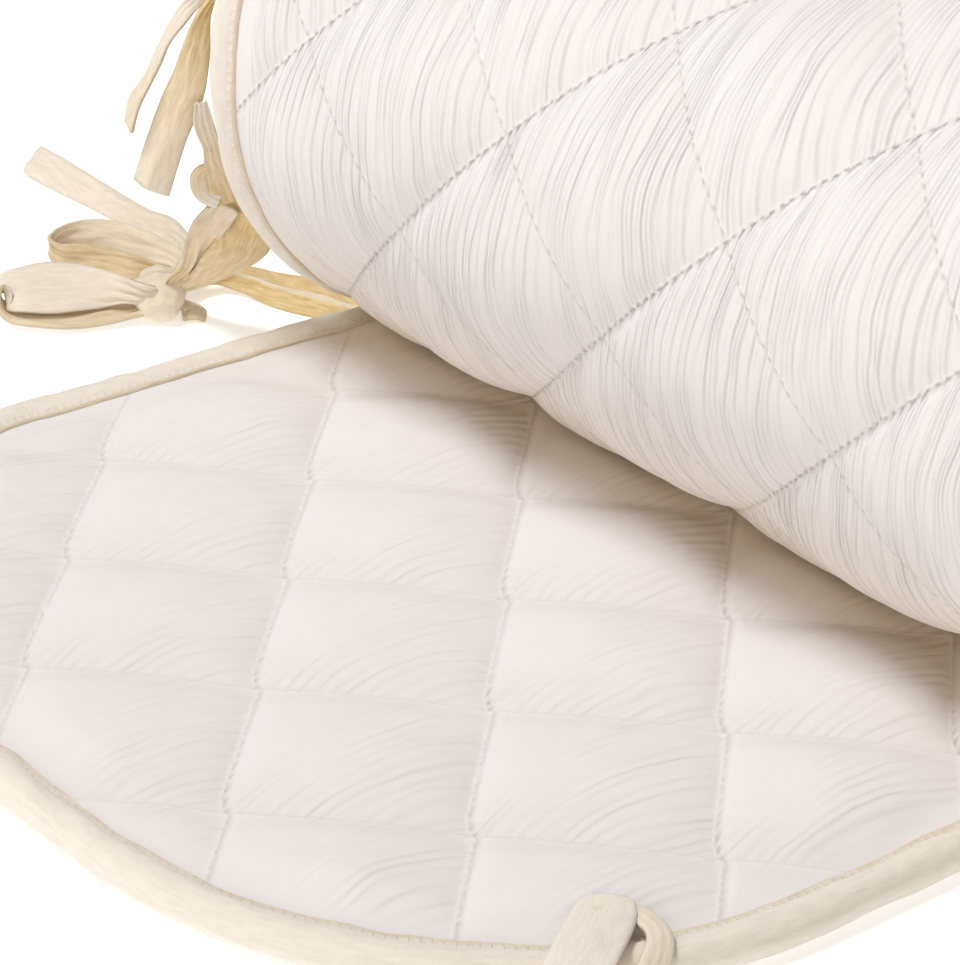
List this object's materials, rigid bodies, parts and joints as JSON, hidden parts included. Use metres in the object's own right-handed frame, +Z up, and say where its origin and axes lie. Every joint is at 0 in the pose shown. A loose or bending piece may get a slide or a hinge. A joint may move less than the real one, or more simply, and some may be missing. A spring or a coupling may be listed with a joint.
{
  "type": "quilted crib bumper",
  "caption": "Long quilted crib bumper with a bound edge and cream ties, rolled up with one rounded end lying flat beside the roll.",
  "frame": {"origin": "on the floor under the roll's axis, at the middle of the cloth's width", "axes": "+X runs along the cloth from its loose end into the roll, +Y across the cloth to the bow's side, +Z up"},
  "size_m": [0.3529, 0.4573, 0.1833],
  "materials": {
    "cloth": "soft crinkled off-white cotton, matt",
    "binding": "cream cotton tape, matt"
  },
  "bodies": {
    "root": {"quilted_panel": "cloth", "edge_binding": "binding", "tie_bow_roll": "binding", "tie_bow_floor": "binding", "tie_loose_wide": "binding", "tie_loose_thin": "binding", "tie_edge_curl": "binding", "tie_near_corner": "binding"}
  },
  "joints": []
}
